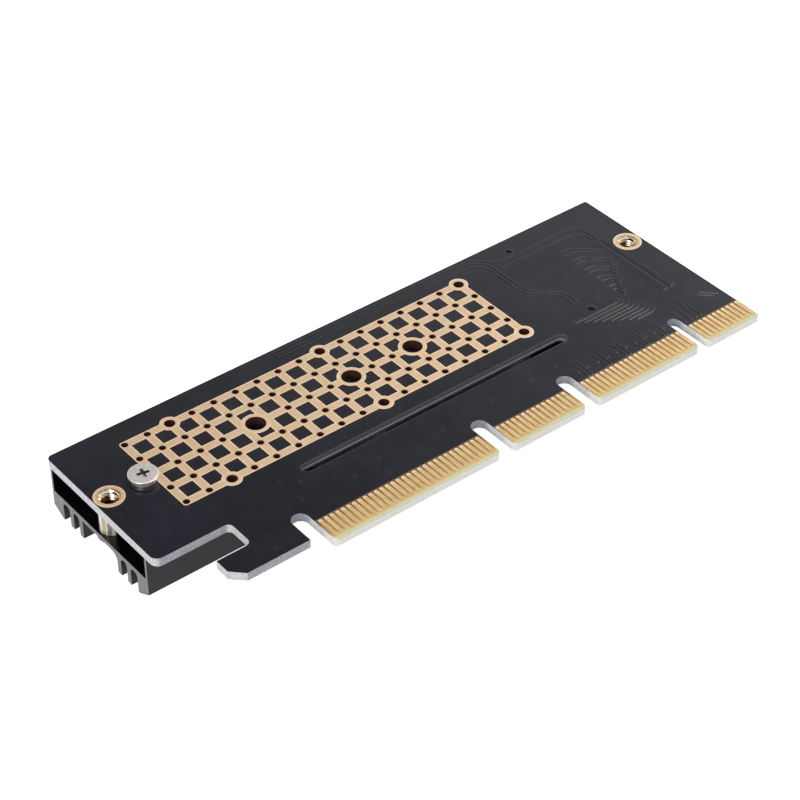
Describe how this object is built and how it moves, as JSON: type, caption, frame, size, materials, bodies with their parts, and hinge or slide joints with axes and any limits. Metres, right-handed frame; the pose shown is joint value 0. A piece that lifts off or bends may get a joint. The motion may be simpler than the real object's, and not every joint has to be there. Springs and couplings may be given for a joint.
{
  "type": "nvme adapter card",
  "caption": "Edge-connector adapter card for a flat solid-state drive, with a finned heatsink under it and a bare copper cooling lattice on its solder side.",
  "frame": {"origin": "under the middle of the card, at the tips of the heatsink's fins", "axes": "+X along the card towards contact 1, +Y towards the far edge, away from the edge contacts, +Z out of the solder side"},
  "size_m": [0.1064, 0.0406, 0.0113],
  "materials": {
    "black_mask_board": "satin-gloss black solder mask on glass-fibre laminate with pale cut edges",
    "bare_copper": "gold-plated copper, pale and slightly mottled",
    "contact_gold": "gold-plated edge contacts",
    "black_anodised": "satin black anodised extrusion with paler sawn ends",
    "socket_moulding": "matt black moulded housing",
    "socket_pin_gold": "thin gold-plated spring pins",
    "tinned_tab": "tin-plated solder tabs",
    "post_metal": "turned brass, bright",
    "silver_screw": "nickel-plated steel screw",
    "black_screw": "black oxide steel screw",
    "grey_pad": "soft grey thermal pad",
    "ceramic_chip": "brown ceramic chip with tinned ends",
    "resistor_chip": "black chip with tinned ends"
  },
  "bodies": {
    "root": {"circuit_board": "black_mask_board", "cooling_lattice": "bare_copper", "hook_end_ring": "bare_copper", "end_ring": "bare_copper", "solder_side_contacts_1_to_11": "contact_gold", "component_side_contacts_1_to_11": "contact_gold", "solder_side_contacts_12_to_32": "contact_gold", "component_side_contacts_12_to_32": "contact_gold", "solder_side_contacts_36_to_49": "contact_gold", "component_side_contacts_36_to_49": "contact_gold", "solder_side_contacts_53_to_82": "contact_gold", "component_side_contacts_53_to_82": "contact_gold", "heatsink": "black_anodised", "hook_end_post": "post_metal", "end_post": "post_metal", "hook_end_screw": "black_screw", "end_screw": "black_screw", "drive_standoff": "post_metal", "standoff_screw": "silver_screw", "drive_screw": "silver_screw", "socket_housing": "socket_moulding", "socket_contacts": "socket_pin_gold", "socket_hold_downs": "tinned_tab", "thermal_pad": "grey_pad", "coupling_capacitors": "ceramic_chip", "bulk_capacitors": "ceramic_chip", "resistors": "resistor_chip"}
  },
  "joints": []
}
